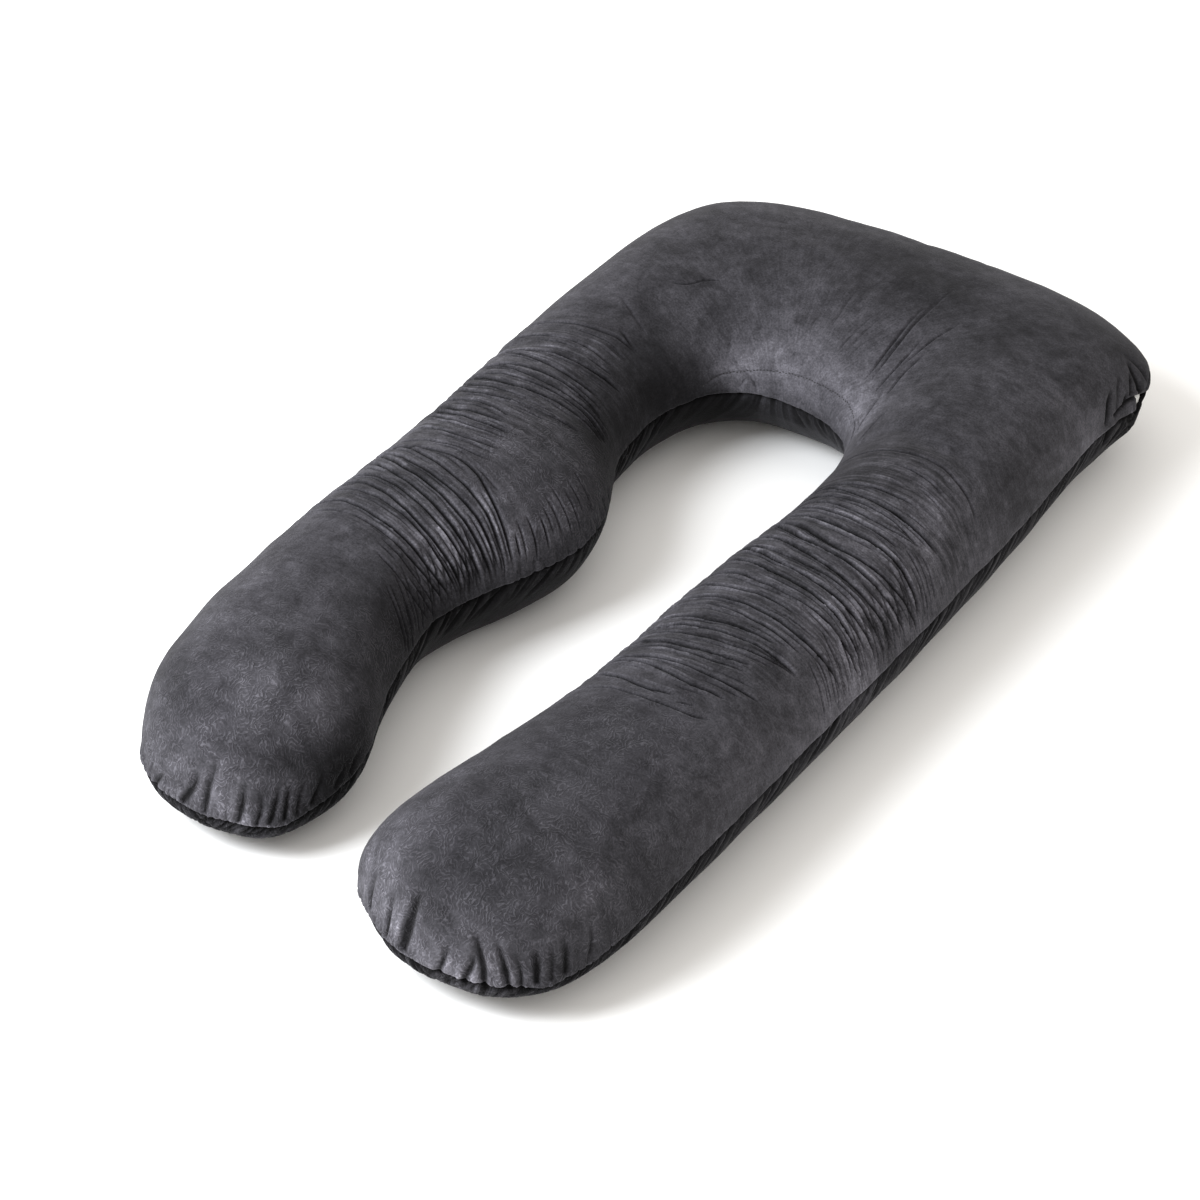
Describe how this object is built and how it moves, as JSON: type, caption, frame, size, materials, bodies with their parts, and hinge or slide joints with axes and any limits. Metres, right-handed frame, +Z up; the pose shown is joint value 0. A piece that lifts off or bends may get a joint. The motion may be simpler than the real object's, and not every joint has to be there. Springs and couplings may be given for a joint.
{
  "type": "body pillow",
  "caption": "U-shaped filled body pillow of velvet, flat underneath, with a shaped left arm, a straight right arm and puckers across both.",
  "frame": {"origin": "on the floor, below the middle of the pillow's box", "axes": "+Z up, +Y from the arms' tips towards the closed head end, +X towards the longer, straight arm"},
  "size_m": [0.7, 1.4, 0.2],
  "materials": {
    "velvet": "short-pile velvet, soft sheen along the nap",
    "casing_cloth": "plain matt white cloth"
  },
  "bodies": {
    "root": {"pillow": "velvet", "inner_casing": "casing_cloth"}
  },
  "joints": []
}
